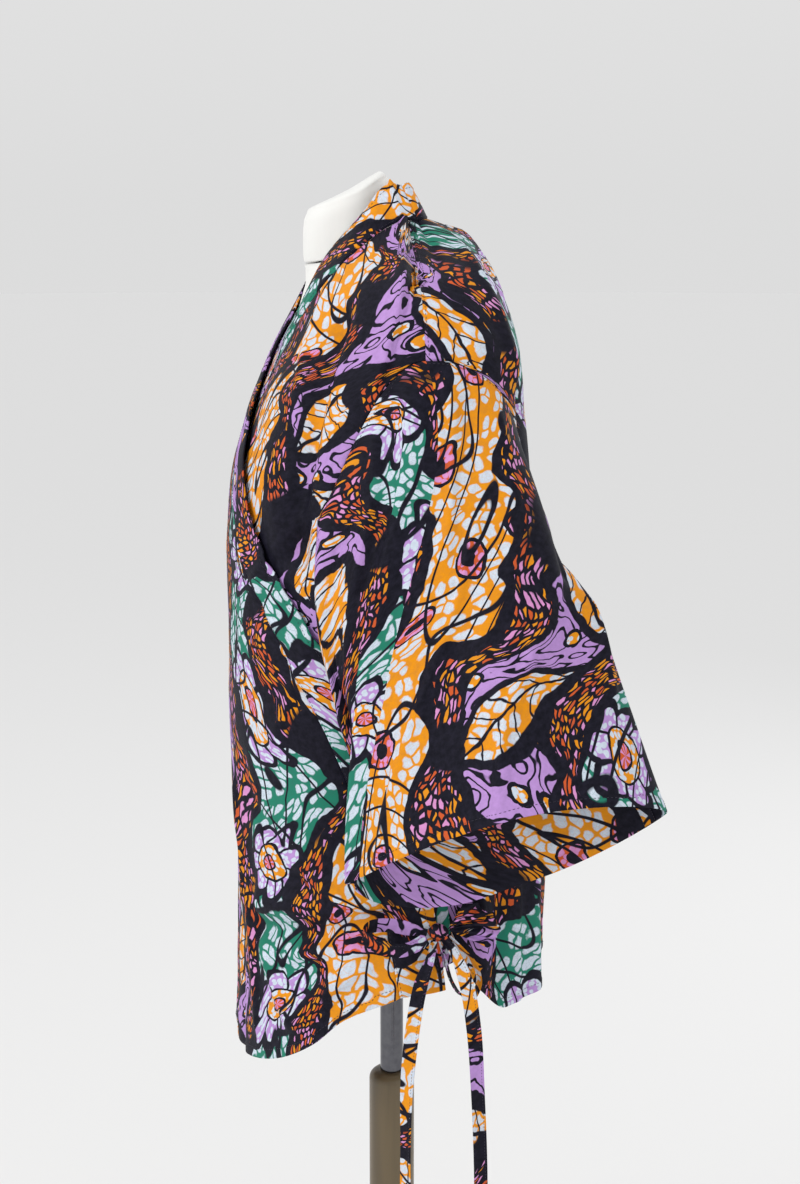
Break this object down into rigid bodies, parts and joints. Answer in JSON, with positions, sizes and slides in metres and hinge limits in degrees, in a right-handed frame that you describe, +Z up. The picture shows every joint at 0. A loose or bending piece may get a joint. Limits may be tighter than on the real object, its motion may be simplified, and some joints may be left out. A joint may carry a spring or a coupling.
{
  "type": "kimono jacket on a limbless dress form",
  "caption": "Wrap-front kimono jacket with wide sleeves, crossing collar band and side tie, worn by a limbless dress form on a pole stand with a round base.",
  "frame": {"origin": "centre of the stand's round base, on its underside", "axes": "+Z up; the worn jacket's front faces -Y; +X is the wearer's left, the side of the tied bow"},
  "size_m": [0.646, 0.388, 1.4413],
  "materials": {
    "print_cotton": null,
    "band_cotton": null,
    "tie_cotton": null,
    "form_jersey": "matt white jersey",
    "pole_chrome": "polished",
    "post_wood": "satin brown-olive varnish",
    "base_paint": "satin brown paint"
  },
  "bodies": {
    "root": {"form_base": "base_paint", "form_post": "post_wood", "form_pole": "pole_chrome", "form_torso": "form_jersey", "form_neck": "form_jersey", "back_panel": "print_cotton", "front_left": "print_cotton", "front_right": "print_cotton", "sleeve_left": "print_cotton", "sleeve_right": "print_cotton", "collar_band": "band_cotton", "tie_knot": "tie_cotton", "bow_loop_front": "tie_cotton", "bow_loop_drop": "tie_cotton", "tie_tail_front": "tie_cotton", "tie_tail_back": "tie_cotton", "gathered_corner": "print_cotton"}
  },
  "joints": []
}
